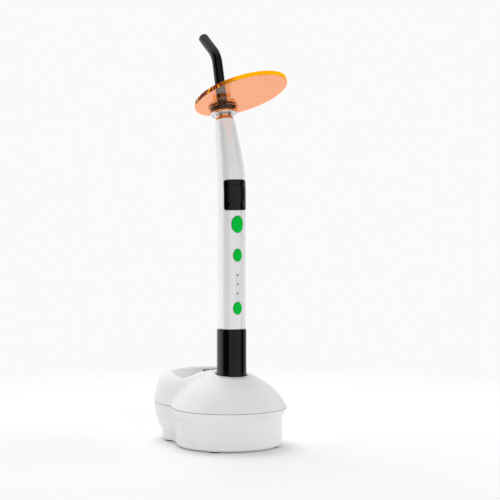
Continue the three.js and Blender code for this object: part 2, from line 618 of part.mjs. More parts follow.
makeBase();
makeBatteryPack();
makeMainBody();
makeNose();

groups.nose.position.z = TILT_PIVOT_Z;
groups.nose.rotation.x = -TILT;

const curingLight = new THREE.Group();
curingLight.name = 'curing_light';
curingLight.position.y = HANDPIECE_Y;
curingLight.add(groups.base, groups.pack, groups.body, groups.nose);

export default curingLight;
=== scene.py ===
import json
import math

import bmesh
import bpy
import numpy as np
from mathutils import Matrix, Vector


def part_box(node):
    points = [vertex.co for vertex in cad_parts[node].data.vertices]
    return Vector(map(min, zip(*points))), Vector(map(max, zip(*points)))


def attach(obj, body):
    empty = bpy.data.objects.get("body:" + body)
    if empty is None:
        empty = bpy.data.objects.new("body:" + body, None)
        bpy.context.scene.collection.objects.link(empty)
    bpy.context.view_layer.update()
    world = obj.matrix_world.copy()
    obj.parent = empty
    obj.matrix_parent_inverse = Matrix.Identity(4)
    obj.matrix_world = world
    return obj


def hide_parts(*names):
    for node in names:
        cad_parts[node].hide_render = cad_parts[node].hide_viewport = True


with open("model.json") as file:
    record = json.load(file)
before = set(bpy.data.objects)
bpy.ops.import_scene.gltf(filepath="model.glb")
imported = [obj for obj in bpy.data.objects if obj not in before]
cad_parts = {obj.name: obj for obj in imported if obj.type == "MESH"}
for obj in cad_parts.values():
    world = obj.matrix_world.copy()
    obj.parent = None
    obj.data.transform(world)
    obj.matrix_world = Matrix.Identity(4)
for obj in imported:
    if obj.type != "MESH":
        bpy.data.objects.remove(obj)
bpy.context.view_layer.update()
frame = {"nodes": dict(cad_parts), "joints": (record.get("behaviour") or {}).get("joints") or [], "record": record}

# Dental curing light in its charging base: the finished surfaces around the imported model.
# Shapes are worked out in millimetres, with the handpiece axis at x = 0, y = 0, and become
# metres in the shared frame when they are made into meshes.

MM = 0.001


def extent(node):
    """Lowest and highest corners of a CAD node in millimetres, in the shared frame."""
    low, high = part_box(node)
    return np.array(low) / MM, np.array(high) / MM


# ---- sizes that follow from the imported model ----

JOINTS = {joint["name"]: joint for joint in frame["joints"]}
NOSE_AXIS = JOINTS["guide_turn"]["axis"]
TILT = math.atan2(NOSE_AXIS[1], NOSE_AXIS[2])
SLEEVE_LOW, SLEEVE_HIGH = extent("battery_sleeve")
AXIS_Y = (SLEEVE_LOW[1] + SLEEVE_HIGH[1]) / 2
SLEEVE_R = (SLEEVE_HIGH[0] - SLEEVE_LOW[0]) / 2
PACK_LOW = extent("battery_end_cap")[0][2]
PACK_HIGH = SLEEVE_HIGH[2] + 0.2
BODY_LOW = extent("body_shell")[0][2]
NOSE_POINT = np.array(JOINTS["guide_turn"]["pos_m"]) / MM
PIVOT_Z = NOSE_POINT[2] - (NOSE_POINT[1] - AXIS_Y) / math.tan(TILT)

# ---- other sizes, millimetres ----

GAP = 0.3
BODY_R = 11.2
BODY_WALL = 1.4
BODY_HIGH = 264.9
BEND_TANGENT = 17.5
BEND_START = PIVOT_Z - BEND_TANGENT
BEND_RADIUS = BEND_TANGENT / math.tan(TILT / 2)

ROUND = 96  # points round a turned piece
WELD = 0.002  # points closer than this become one

# Front lobe: the drum, its flare and the dome. Rear lobe: the pedestal and the pod.
FRONT_Y = 4.5
REAR_Y = 44.2
LOBE_BLEND = 4.5
SADDLE = {"x": 26, "y": 34, "reach": 6.3, "depth": 4.8}
SEAM_Z = 31.2
SEAM_GAP = 0.3
EASE = 0.22  # how far the shells' outer edges at the seam are eased
WALL = 2.2
FLOOR_LOW = 1.3
FLOOR_HIGH = 4.1
NET_STEP = 0.8
NET_LOW, NET_HIGH = (-49.0, -45.0, -1.0), (49.0, 91.0, 64.0)
NET_MARGIN = 2.5  # how far a shell is netted past its seam
SHELL_SHARP = 40  # degrees from which the shells' edges stay sharp
SOCKET = {"radius": 12.6, "blend": 1.6}
LIP = {"tilt": math.radians(6), "radius": 14.0, "z": 55.6, "pivot_z": 57,
       "half_width": 5.0, "half_height": 2.2, "thickness": 2.8, "blend": 4.0}
DISH = {"centre": (0, 46, 60), "radii": (30, 22.5, 24), "wall": WALL * 1.2, "blend": 2.6}
RIDGE = {"half_length": 12, "centre": (0, 20.0, 49.3), "radii": (12, 8.5, 9.4), "blend": 6.0}
STATUS_Y = 20.5
STATUS_LIGHTS = {"status_light_power": (-14.9, 0.75), "status_light_charge": (-12.9, 0.75),
                 "status_light_ready": (-10.6, 0.95)}
STATUS_TOP = 60.6
STATUS_GAP = 0.2
BAR_HALF_X, BAR_HALF_Y = 8.2, 1.0
JACK_Z = 15.4
JACK_HOLE = {"radius": 4.6, "from_y": 60, "blend": 1.0}
FEET = [(-26, -22), (26, -22), (-32, 46), (32, 46)]
FOOT_BOSS = {"radius": 5.4, "z": 2.75, "half_height": 1.7, "blend": 1.6}
FOOT_POCKET = {"radius": 4.7, "top": 2.2}
POSTS = [(-31, -6), (31, -6), (-21, 67), (21, 67)]
SCREW_WELL = {"radius": 2.9, "top": 3.2, "blend": 0.6}

# Body openings, as distances round the body (u) and along it (v).
WINDOW = {"half_u": 11.53, "v": 202.55, "half_v": 11.45, "corner": 1.7}
SCREEN = {"half_u": 7.82, "v": 203.65, "half_v": 5.85, "corner": 0.7, "back": 9.2,
          "rim": 11.65, "top": 11.95}
BUTTONS = {
    "power": {"v": 179.6, "half_u": 5.2, "half_v": 6.6, "proud": 0.6},
    "mode": {"v": 154.8, "half_u": 3.75, "half_v": 4.85, "proud": 0.5},
    "time": {"v": 112.2, "half_u": 3.75, "half_v": 4.85, "proud": 0.5},
}
BUTTON_BACK, BUTTON_FLANGE_TOP = 8.6, 9.45
BUTTON_FLANGE = 1.0
BUTTON_SLIM = 0.25  # how far a button's sides stand back from its rim
PIPE = {"v": 128.75, "half_u": 1.3, "half_v": 10.75, "corner": 0.9, "top": 11.27, "back": 9.8}
MODE_MARKS = (138.8, 131.5, 124.3)
MARK_ARROW = [(-0.75, 1.05), (0.8, 0.0), (-0.75, -1.05)]
CUT_LOW_R, CUT_HIGH_R = 7.0, BODY_R + 3  # where cutters through the wall start and end

# Guide and shield, measured along the tilted nose axis from the tilt pivot.
GUIDE = {"low": 45.2, "bend": 95.5, "radius": 20.0, "angle": math.radians(41), "tip": 21.4}
GUIDE_HIGH = GUIDE["bend"] + GUIDE["radius"] * GUIDE["angle"] + GUIDE["tip"]
GUIDE_R = 4.2
CORE_R = 3.2
CORE_GAP = 0.05
SHIELD = {"low": 57.8, "high": 61.0, "half_x": 31.4, "half_y": 53.2, "forward": 31.6}
HUB = {"low": 54.3, "high": 62.6, "radius": 11.75, "bore": 7.2}


# ---- placing points ----

def on_axis(points):
    """From the handpiece's own frame to the shared frame."""
    return np.asarray(points, float) + (0, AXIS_Y, 0)


def on_nose(points):
    """From the nose's frame, whose Z runs along the tilted axis, to the shared frame."""
    x, y, z = np.asarray(points, float).T
    turned_y = y * math.cos(TILT) + z * math.sin(TILT)
    turned_z = z * math.cos(TILT) - y * math.sin(TILT)
    return np.stack([x, turned_y + AXIS_Y, turned_z + PIVOT_Z], 1)


def at(x, y):
    """As on_axis, with x and y added first."""
    return lambda points: on_axis(np.asarray(points, float) + (x, y, 0))


def bent(points, start, radius, angle):
    """Points along a straight Z axis, bent towards +Y from `start` on."""
    x, y, z = np.asarray(points, float).T
    past = np.maximum(z - start, 0)
    turn = np.minimum(past / radius, angle)
    beyond = np.maximum(past - radius * angle, 0)
    reach = radius - y
    bent_y = radius - reach * np.cos(turn) + beyond * np.sin(turn)
    bent_z = start + reach * np.sin(turn) + beyond * np.cos(turn)
    return np.stack([x, np.where(past > 0, bent_y, y), np.where(past > 0, bent_z, z)], 1)


def on_body(points):
    return on_axis(bent(points, BEND_START, BEND_RADIUS, TILT))


def on_guide(points):
    return on_nose(bent(points, GUIDE["bend"], GUIDE["radius"], GUIDE["angle"]))


# ---- outlines ----

def rounded(corners, closed=True):
    """An outline whose corners are (x, y, radius), each turned into a short curve."""
    count = len(corners)
    points = []
    for i, corner in enumerate(corners):
        x, y, radius = (*corner, 0)[:3]
        here = np.array((x, y), float)
        if radius == 0 or (not closed and i in (0, count - 1)):
            points.append(here)
            continue
        before = np.array(corners[i - 1][:2], float) - here
        after = np.array(corners[(i + 1) % count][:2], float) - here
        length_before, length_after = np.linalg.norm(before), np.linalg.norm(after)
        before, after = before / length_before, after / length_after
        half = math.acos(np.clip(before @ after, -1, 1)) / 2
        cut = min(radius / math.tan(half), 0.48 * length_before, 0.48 * length_after)
        for t in np.linspace(0, 1, 5):
            start, end = here + before * cut, here + after * cut
            points.append((1 - t) ** 2 * start + 2 * t * (1 - t) * here + t * t * end)
    return np.array(points)


def spline(points, steps=8):
    """A smooth curve through the points."""
    p = np.array(points, float)
    p = np.vstack([2 * p[0] - p[1], p, 2 * p[-1] - p[-2]])
    curve = []
    for i in range(1, len(p) - 2):
        for t in np.linspace(0, 1, steps, endpoint=False):
            a, b, c, d = p[i - 1], p[i], p[i + 1], p[i + 2]
            curve.append(0.5 * (2 * b + (c - a) * t + (2 * a - 5 * b + 4 * c - d) * t**2
                                + (3 * b - a - 3 * c + d) * t**3))
    curve.append(p[-2])
    return np.array(curve)


def refined(outline, longest, closed=True):
    """The outline with extra points, so that no step is longer than `longest`."""
    points = []
    ends = list(zip(outline, np.roll(outline, -1, 0)))
    for a, b in ends if closed else ends[:-1]:
        count = max(1, math.ceil(np.linalg.norm(b - a) / longest))
        points.extend(a + (b - a) * t for t in np.linspace(0, 1, count, endpoint=False))
    if not closed:
        points.append(outline[-1])
    return np.array(points)


def ellipse_outline(half_u, half_v, count):
    turns = np.linspace(0, 2 * math.pi, count, endpoint=False)
    return np.stack([half_u * np.cos(turns), half_v * np.sin(turns)], 1)


def box_outline(size, grow=0.0, side=12):
    """A rounded rectangle, with `side` points along each straight side."""
    corner = size["corner"] + grow
    inner = np.array((size["half_u"] + grow - corner, size["half_v"] + grow - corner))
    signs = np.array([(1, 1), (-1, 1), (-1, -1), (1, -1)])
    points = []
    for quarter in range(4):
        turns = quarter * math.pi / 2 + np.linspace(0, math.pi / 2, 8)
        arc = corner * np.stack([np.cos(turns), np.sin(turns)], 1)
        end = inner * signs[quarter] + arc[-1]
        target = inner * signs[(quarter + 1) % 4] + arc[-1]
        points.extend(inner * signs[quarter] + arc)
        points.extend(end * (1 - t) + target * t for t in np.linspace(0, 1, side + 2)[1:-1])
    return np.array(points)


# ---- meshes ----

def make_piece(name, points, faces, material, sharp=32):
    """A mesh object from millimetre points, welded, facing outward and shaded smooth."""
    mesh = bpy.data.meshes.new(name)
    mesh.from_pydata((np.asarray(points) * MM).tolist(), [], faces)
    work = bmesh.new()
    work.from_mesh(mesh)
    bmesh.ops.remove_doubles(work, verts=work.verts, dist=WELD * MM)
    bmesh.ops.dissolve_degenerate(work, edges=work.edges, dist=WELD * MM / 2)
    bmesh.ops.recalc_face_normals(work, faces=work.faces)
    work.to_mesh(mesh)
    work.free()
    return finish_object(name, mesh, material, sharp)


def unpacked(name, work, material, place=on_axis, sharp=32):
    """A piece made of the work's points and faces. The work is freed."""
    points = place([v.co[:] for v in work.verts])
    faces = [[v.index for v in f.verts] for f in work.faces]
    work.free()
    return make_piece(name, points, faces, material, sharp)


def shade(mesh, sharp):
    """Smooth shading, with edges sharper than `sharp` degrees left sharp."""
    mesh.shade_smooth()
    mesh.set_sharp_from_angle(angle=math.radians(sharp))


def finish_object(name, mesh, material, sharp=32):
    shade(mesh, sharp)
    mesh.materials.append(material)
    piece = bpy.data.objects.new(name, mesh)
    bpy.context.scene.collection.objects.link(piece)
    return piece


def loft(name, rings, material, place=on_axis, closed=True, sharp=32):
    """Faces between rings of points. A closed loft joins its last ring to its first."""
    count = len(rings[0])
    points = place(np.vstack(rings))
    faces = []
    for k in range(len(rings) if closed else len(rings) - 1):
        here, there = k * count, (k + 1) % len(rings) * count
        for i in range(count):
            j = (i + 1) % count
            faces.append((here + i, here + j, there + j, there + i))
    return make_piece(name, points, faces, material, sharp)


def turned(name, corners, material, place=on_axis, count=ROUND, step=None):
    """A turned piece. Its outline is a closed ring, or starts and ends on the axis."""
    ring = corners[0][0] > 0
    outline = corners if isinstance(corners, np.ndarray) else rounded(corners, closed=ring)
    if step:
        outline = refined(outline, step, closed=ring)
    circle = ellipse_outline(1, 1, count)
    rings = [np.column_stack([circle * r, np.full(count, z)]) for r, z in outline]
    return loft(name, rings, material, place, closed=ring)


def wrapped(name, rings, centre_v, material, closed=False):
    """A loft on the body. Each ring is a loop of (u, v) and its distance from the axis."""
    bands = []
    for loop, r in rings:
        angle = loop[:, 0] / BODY_R
        bands.append(np.stack([r * np.sin(angle), -r * np.cos(angle), loop[:, 1] + centre_v], 1))
    return loft(name, bands, material, on_body, closed)


def block(name, low, high, material, bevel, place=on_axis):
    """A box with rounded edges."""
    work = bmesh.new()
    bmesh.ops.create_cube(work, size=1)
    size, middle = np.subtract(high, low), np.add(high, low) / 2
    for vertex in work.verts:
        vertex.co = Vector(np.array(vertex.co) * size + middle)
    bmesh.ops.bevel(work, geom=work.edges[:], offset=bevel, segments=3, profile=0.5,
                    affect="EDGES")
    return unpacked(name, work, material, place)


def cut_away(piece, cutters, sharp=32):
    """Cuts the cutters out of the piece and removes them."""
    for cutter in cutters:
        modifier = piece.modifiers.new("cut", "BOOLEAN")
        modifier.operation = "DIFFERENCE"
        modifier.solver = "EXACT"
        modifier.object = cutter
    graph = bpy.context.evaluated_depsgraph_get()
    mesh = bpy.data.meshes.new_from_object(piece.evaluated_get(graph))
    piece.modifiers.clear()
    spent = [piece.data] + [cutter.data for cutter in cutters]
    piece.data = mesh
    shade(mesh, sharp)
    for cutter in cutters:
        bpy.data.objects.remove(cutter)
    for old in spent:
        bpy.data.meshes.remove(old)


# ---- the base's surface as a distance field ----

class Lobe:
    """A turned solid round a vertical axis, as a table of distances over radius and height."""

    STEP = 0.2
    REACH = 64.0
    LOW, HIGH = -6.0, 74.0

    def __init__(self, outline, y):
        self.y = y
        radii = np.arange(0, self.REACH, self.STEP)
        heights = np.arange(self.LOW, self.HIGH, self.STEP)
        r, z = np.meshgrid(radii, heights, indexing="ij")
        nearest = np.full(r.shape, 1e9)
        inside = np.zeros(r.shape, bool)
        mirrored = np.vstack([outline, outline[::-1] * (-1, 1)])
        for (ax, az), (bx, bz) in zip(mirrored, np.roll(mirrored, -1, 0)):
            ex, ez = bx - ax, bz - az
            length = ex * ex + ez * ez
            if length < 1e-12:
                continue
            t = np.clip(((r - ax) * ex + (z - az) * ez) / length, 0, 1)
            gap = (r - ax - t * ex) ** 2 + (z - az - t * ez) ** 2
            nearest = np.minimum(nearest, gap)
            if ez:
                crosses = (az > z) != (bz > z)
                inside ^= crosses & (r < ax + (z - az) / ez * ex)
        self.table = np.where(inside, -1, 1) * np.sqrt(nearest)

    def __call__(self, x, y, z):
        r = np.hypot(x, y - self.y) / self.STEP
        h = (z - self.LOW) / self.STEP
        i = np.clip(r.astype(int), 0, self.table.shape[0] - 2)
        j = np.clip(h.astype(int), 0, self.table.shape[1] - 2)
        fr, fh = np.clip(r - i, 0, 1), np.clip(h - j, 0, 1)
        t = self.table
        low = t[i, j] * (1 - fr) + t[i + 1, j] * fr
        high = t[i, j + 1] * (1 - fr) + t[i + 1, j + 1] * fr
        return low * (1 - fh) + high * fh


def smooth_union(a, b, reach):
    mix = np.maximum(reach - np.abs(a - b), 0) / reach
    return np.minimum(a, b) - mix * mix * reach / 4


def smooth_cut(a, b, reach):
    """Solid a without solid b, the rim rounded over `reach`."""
    return -smooth_union(-a, b, reach)


def ellipsoid(x, y, z, centre, radii):
    """Roughly the distance to an ellipsoid."""
    away = [(value - middle, r) for value, middle, r in zip((x, y, z), centre, radii)]
    scaled = np.sqrt(sum((gap / r) ** 2 for gap, r in away))
    slope = np.sqrt(sum((gap / r ** 2) ** 2 for gap, r in away))
    return scaled * (scaled - 1) / np.maximum(slope, 1e-9)


def upright(x, y, centre, radius):
    """Distance to a vertical cylinder without ends."""
    return np.hypot(x - centre[0], y - centre[1]) - radius


def surface_net(field, low, high, step):
    """Quads over the surface where the field is zero, their corners moved onto it."""
    axes = [np.arange(a, b + step, step) for a, b in zip(low, high)]
    x, y, z = np.meshgrid(*axes, indexing="ij")
    value = field(x, y, z)
    inside = value < 0
    corners = [(i, j, k) for i in (0, 1) for j in (0, 1) for k in (0, 1)]
    shape = [n - 1 for n in value.shape]

    def shifted(array, i, j, k):
        return array[i:i + shape[0], j:j + shape[1], k:k + shape[2]]

    filled = sum(shifted(inside, *c).astype(np.int8) for c in corners)
    active = (filled > 0) & (filled < 8)
    cells = np.argwhere(active)
    index = np.full(active.shape, -1)
    index[active] = np.arange(len(cells))
    total = np.zeros((len(cells), 3))
    hits = np.zeros(len(cells))
    for a in corners:
        for axis in range(3):
            if a[axis]:
                continue
            b = list(a)
            b[axis] = 1
            va = shifted(value, *a)[active]
            vb = shifted(value, *b)[active]
            crossing = (va < 0) != (vb < 0)
            t = np.where(crossing, va / np.where(va == vb, 1, va - vb), 0)
            spot = np.tile(np.array(a, float), (len(cells), 1))
            spot[:, axis] = t
            total += spot * crossing[:, None]
            hits += crossing
    points = (cells + total / hits[:, None]) * step + np.array([a[0] for a in axes])
    faces = []
    for axis in range(3):
        others = [d for d in range(3) if d != axis]
        change = inside != np.roll(inside, -1, axis)
        keep = [slice(0 if d == axis else 1, -1) for d in range(3)]
        spots = np.argwhere(change[tuple(keep)])
        spots[:, others] += 1
        ring = []
        for shift in ((0, 0), (-1, 0), (-1, -1), (0, -1)):
            cell = spots.copy()
            cell[:, others] += shift
            ring.append(index[tuple(cell.T)])
        faces.append(np.stack(ring, 1))
    faces = np.vstack(faces)
    faces = faces[(faces >= 0).all(1)]
    for _ in range(3):
        points = onto_surface(field, evened(points, faces), step)
    return points, faces


def evened(points, faces):
    """Each point at the mean of its neighbours along the faces' edges."""
    total, count = np.zeros_like(points), np.zeros(len(points))
    for side in range(4):
        here, there = faces[:, side], faces[:, (side + 1) % 4]
        np.add.at(total, here, points[there])
        np.add.at(total, there, points[here])
        np.add.at(count, here, 1)
        np.add.at(count, there, 1)
    return np.where(count[:, None] > 0, total / np.maximum(count, 1)[:, None], points)


def onto_surface(field, points, step):
    """Moves points along the field's slope until they lie on its zero surface."""
    start = points.copy()
    reach = 0.04
    for _ in range(3):
        value = field(*points.T)
        slope = np.empty_like(points)
        for axis in range(3):
            ahead, behind = points.copy(), points.copy()
            ahead[:, axis] += reach
            behind[:, axis] -= reach
            slope[:, axis] = (field(*ahead.T) - field(*behind.T)) / (2 * reach)
        size = np.maximum((slope ** 2).sum(1), 0.05)
        points = points - slope * (value / size)[:, None]
        points = start + np.clip(points - start, -step, step)
    return points


# ---- materials ----

class Nodes:
    """Short ways to add and join nodes."""

    def __init__(self, tree):
        self.tree = tree

    def give(self, socket, value):
        """Sets the socket, or joins it to another node's output."""
        if isinstance(value, bpy.types.NodeSocket):
            self.tree.links.new(value, socket)
        else:
            socket.default_value = value

    def feed(self, node, **values):
        """Gives the node's sockets and properties their values. Spaces are written as _."""
        for key, value in values.items():
            socket = node.inputs.get(key.replace("_", " "))
            if socket is None:
                setattr(node, key, value)
            else:
                self.give(socket, value)
        return node

    def add(self, kind, **values):
        return self.feed(self.tree.nodes.new(kind), **values)

    def maths(self, operation, a, b=0.0):
        node = self.add("ShaderNodeMath", operation=operation)
        self.give(node.inputs[0], a)
        self.give(node.inputs[1], b)
        return node.outputs[0]

    def ranged(self, value, low, high, start=0.3, end=0.7, blend="LINEAR"):
        """The value from `start` to `end` as a number from `low` to `high`."""
        return self.add("ShaderNodeMapRange", interpolation_type=blend, Value=value,
                        From_Min=start, From_Max=end, To_Min=low, To_Max=high).outputs[0]

    def mixed(self, factor, a, b):
        """Colour a where the factor is 0 and b where it is 1. A number is a grey."""
        node = self.add("ShaderNodeMix", data_type="RGBA", Factor=factor)
        for socket, value in ((node.inputs[6], a), (node.inputs[7], b)):
            if isinstance(value, float):
                value = (value,) * 3
            self.give(socket, (*value, 1) if isinstance(value, tuple) else value)
        return node.outputs[2]


class Finish(Nodes):
    """A new material."""

    def __init__(self, name):
        self.material = bpy.data.materials.new(name)
        self.material.use_nodes = True
        super().__init__(self.material.node_tree)
        self.shader = self.tree.nodes["Principled BSDF"]
        self.place = self.add("ShaderNodeTexCoord").outputs["Object"]

    def stretched(self, scale):
        return self.add("ShaderNodeMapping", Scale=scale, Vector=self.place).outputs["Vector"]

    def texture(self, kind, scale):
        return self.add(kind, Scale=scale, Vector=self.place).outputs

    def noise(self, scale, detail=3.0, stretch=None):
        place = self.stretched(stretch) if stretch else self.place
        return self.add("ShaderNodeTexNoise", Scale=scale, Detail=detail,
                        Vector=place).outputs["Fac"]

    def set(self, **values):
        self.feed(self.shader, **values)

    def bump(self, height, depth_mm, strength=1.0):
        self.set(Normal=self.add("ShaderNodeBump", Strength=strength, Distance=depth_mm * MM,
                                 Height=height).outputs["Normal"])


def plain(colour, other, grain, roughness, bump, stretch=None, **sockets):
    """Two close colours and a roughness range over one noise, with a fine bump of its own.

    The grain is the first noise's scale in cycles per metre; bump is (scale, depth in mm).
    """
    def make(name):
        nodes = Finish(name)
        field = nodes.noise(grain, stretch=stretch)
        nodes.set(Base_Color=nodes.mixed(field, colour, other),
                  Roughness=nodes.ranged(field, *roughness), **sockets)
        nodes.bump(nodes.noise(bump[0], 2.0, stretch), bump[1])
        return nodes.material

    return make


def board(name):
    """Green solder mask with paler copper tracks and round pads."""
    nodes = Finish(name)
    tracks = nodes.texture("ShaderNodeTexBrick", 180.0)["Fac"]
    mask = nodes.mixed(tracks, (0.012, 0.11, 0.045), (0.04, 0.2, 0.08))
    pads = nodes.texture("ShaderNodeTexVoronoi", 260.0)["Distance"]
    dots = nodes.ranged(pads, 1, 0, 0.16, 0.2)
    nodes.set(Base_Color=nodes.mixed(dots, mask, (0.62, 0.55, 0.36)),
              Roughness=nodes.ranged(dots, 0.45, 0.25, 0, 1))
    nodes.bump(tracks, 0.03)
    return nodes.material


def silver(name):
    """Silver paint: fine flakes under a clear coat."""
    nodes = Finish(name)
    tone = nodes.ranged(nodes.texture("ShaderNodeTexVoronoi", 6500.0)["Color"], 0, 1, 0, 1)
    nodes.set(Base_Color=nodes.mixed(tone, (0.9, 0.9, 0.905), (0.92, 0.92, 0.925)),
              Roughness=nodes.ranged(nodes.noise(90.0), 0.14, 0.19), Metallic=0.2)
    nodes.bump(nodes.noise(1400.0, 2.0), 0.004, 0.5)
    return nodes.material


def acrylic_edge(name):
    """The acrylic plate's edge: a painted orange glow, given out as emission, with painted shade in dark red
    patches on its left-hand side.
    """
    nodes = Finish(name)
    across = nodes.add("ShaderNodeSeparateXYZ", Vector=nodes.place).outputs["X"]
    # Painted shade: dark red patches, only on the edge's left-hand side.
    side = nodes.ranged(across, 1, 0, -0.029, -0.021)  # from 29 mm to 21 mm left of the axis
    painted_shade_patches = nodes.ranged(nodes.noise(140.0), 0, 1, 0.36, 0.46)
    # Painted glow: the edge's colour is also given out as light, though the edge is no lamp.
    painted_glow = nodes.mixed(nodes.noise(60.0), (1.0, 0.45, 0.0), (1.0, 0.3, 0.0))
    colour = nodes.mixed(nodes.maths("MULTIPLY", side, painted_shade_patches), painted_glow, (0.11, 0.007, 0.0))
    nodes.set(Base_Color=colour, Roughness=nodes.ranged(painted_shade_patches, 0.02, 0.06), IOR=1.49,
              Transmission_Weight=0.05, Specular_IOR_Level=0.02, Emission_Color=colour,
              Emission_Strength=0.45)
    nodes.bump(nodes.noise(220.0, 2.0), 0.004)
    return nodes.material


# Colour, other colour, grain, roughness range, bump, and other sockets of the shader.
LOOKS = {
    "white_abs": plain(0.765, 0.777, 35.0, (0.27, 0.32), (300.0, 0.001), IOR=1.5),
    "sleeve_black": plain((0.001, 0.001, 0.0012), 0.002, 60.0, (0.06, 0.1), (900.0, 0.002)),
    "silver_body": silver,
    "black_bezel": plain(0.001, 0.002, 80.0, (0.08, 0.13), (1200.0, 0.002)),
    "display_glass": plain((0.003, 0.003, 0.0035), (0.006, 0.0055, 0.005), 50.0, (0.03, 0.06),
                           (400.0, 0.001)),
    "button_green": plain((0.0, 0.5, 0.04), (0.0, 0.54, 0.05), 60.0, (0.45, 0.55),
                          (900.0, 0.002), IOR=1.2),
    "light_pipe": plain((0.78, 0.78, 0.79), (0.82, 0.82, 0.83), 80.0, (0.3, 0.4),
                        (2500.0, 0.004)),
    "amber_acrylic": plain((1.0, 0.32, 0.082), (1.0, 0.31, 0.075), 60.0, (0.0, 0.02),
                           (220.0, 0.004), Transmission_Weight=1.0, IOR=1.49),
    "amber_edge": acrylic_edge,
    "seal_orange": plain((1.0, 0.3, 0.01), (1.0, 0.36, 0.02), 300.0, (0.05, 0.1),
                         (900.0, 0.002), Metallic=0.9),
    "chrome": plain((0.70, 0.70, 0.71), (0.76, 0.76, 0.77), 200.0, (0.04, 0.08),
                    (900.0, 0.002), stretch=(1, 1, 8), Metallic=1.0),
    "black_glass": plain((0.001, 0.001, 0.0012), 0.002, 70.0, (0.05, 0.09), (500.0, 0.002),
                         IOR=1.38),
    "clear_glass": plain((0.80, 0.86, 0.88), (0.86, 0.9, 0.92), 900.0, (0.02, 0.08),
                         (3000.0, 0.003), Transmission_Weight=0.6, IOR=1.5),
    "black_rubber": plain(0.012, 0.022, 300.0, (0.6, 0.8), (2600.0, 0.02)),
    "status_lens": plain(0.004, 0.01, 400.0, (0.3, 0.4), (1800.0, 0.003), IOR=1.35),
    "bar_black": plain(0.006, 0.012, 200.0, (0.35, 0.45), (1500.0, 0.004), IOR=1.35),
    "mark_ink": plain((0.02, 0.02, 0.022), (0.04, 0.04, 0.042), 900.0, (0.35, 0.5),
                      (3000.0, 0.003)),
    "black_plastic": plain(0.012, 0.02, 200.0, (0.35, 0.5), (2400.0, 0.012)),
    "board": board,
    "contact_brass": plain((0.72, 0.52, 0.2), (0.8, 0.6, 0.26), 500.0, (0.2, 0.34),
                           (1500.0, 0.004), Metallic=1.0),
    "aluminium": plain((0.55, 0.56, 0.57), (0.66, 0.67, 0.68), 300.0, (0.3, 0.45),
                       (1600.0, 0.008), stretch=(1, 1, 10), Metallic=1.0),
    "steel": plain((0.42, 0.43, 0.44), (0.52, 0.53, 0.54), 250.0, (0.28, 0.42),
                   (1400.0, 0.008), Metallic=1.0),
    "cell_wrap": plain((0.02, 0.1, 0.28), (0.03, 0.13, 0.34), 120.0, (0.25, 0.35),
                       (700.0, 0.01)),
    "led_white": plain((0.86, 0.84, 0.7), (0.92, 0.9, 0.8), 800.0, (0.3, 0.45),
                       (2500.0, 0.006)),
}
FINISHES = {name: make(name) for name, make in LOOKS.items()}


# ---- standing in for CAD nodes ----

BODY_OF = {node: body for body, nodes in frame["record"]["behaviour"]["bodies"].items()
           for node in nodes}
SLOT_OF = {part["node"]: part["material_slot"] for part in frame["record"]["subparts"]}


def finish_of(node):
    return FINISHES[SLOT_OF[node]]


def stand_in(piece, node):
    """The piece takes the CAD node's place and body."""
    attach(piece, BODY_OF[node])
    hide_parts(node)


def add_on(piece, node):
    """An extra piece that moves with the CAD node's body."""
    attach(piece, BODY_OF[node])


def turned_for(node, corners, place=on_axis, count=ROUND, step=None):
    stand_in(turned(f"{node}_surface", corners, finish_of(node), place, count, step), node)


def pad_for(node, loop, back_r, rim_r, top_r, centre_v, shoulder, flange=None):
    """A solid set into the body's wall: flat back, straight sides, rounded top."""
    half = np.abs(loop).max(0)
    rings = [(loop * scale, back_r) for scale in (0.0, 0.3, 0.6)]
    if flange is None:
        rings += [(loop, back_r), (loop, (back_r + rim_r) / 2)]
    else:
        rings += [(flange, back_r), (flange, BUTTON_FLANGE_TOP),
                  (loop * (1 - BUTTON_SLIM / half), BUTTON_FLANGE_TOP)]
    for turn in np.linspace(0, math.pi / 2, 5):
        inset = shoulder * (1 - math.cos(turn))
        rings.append((loop * (1 - inset / half), rim_r + (top_r - rim_r) * math.sin(turn)))
    top = rings[-1][0]
    rings.extend((top * scale, top_r) for scale in (0.85, 0.65, 0.45, 0.25, 0.1, 0.0))
    stand_in(wrapped(f"{node}_surface", rings, centre_v, finish_of(node)), node)


# ---- charging base ----

def front_outline():
    drum = rounded([(0, FLOOR_LOW), (43.2, FLOOR_LOW, 1.4), (43.2, 24.2, 0.6),
                    (45.6, 28.2, 3.0), (47.0, SEAM_Z - 0.3, 0.3)], closed=False)
    dome = spline([(47.0, SEAM_Z + 0.3), (44.5, 35.6), (41.2, 40.2), (37.0, 45.0), (30.7, 50.4),
                   (22.0, 54.9), (12.0, 56.9), (0, 57.3)])
    return np.vstack([drum, dome])


def rear_outline():
    pedestal = rounded([(0, FLOOR_LOW), (37.5, FLOOR_LOW, 1.2), (37.5, 8.0, 0.8)],
                       closed=False)
    pod = spline([(37.5, 8.5), (40.6, 13.4), (43.0, 21), (44.2, 32), (43.2, 41), (41.4, 47.6),
                  (38.9, 52.4), (35.6, 55.5), (31, 56.8), (25, 57.0)])
    return np.vstack([pedestal, pod, [(0, 57.0)]])


FRONT_LOBE = Lobe(front_outline(), FRONT_Y)
REAR_LOBE = Lobe(rear_outline(), REAR_Y)


def base_solid(x, y, z):
    """Both lobes as one solid, its top lowered on both sides where pod and dome meet."""
    away = ((np.abs(x) - SADDLE["x"]) ** 2 + (y - SADDLE["y"]) ** 2) / SADDLE["reach"] ** 2
    dip = SADDLE["depth"] * np.exp(-away / 2) * np.clip((z - SEAM_Z - 6) / 8, 0, 1)
    return smooth_union(FRONT_LOBE(x, y, z + dip), REAR_LOBE(x, y, z + dip), LOBE_BLEND)


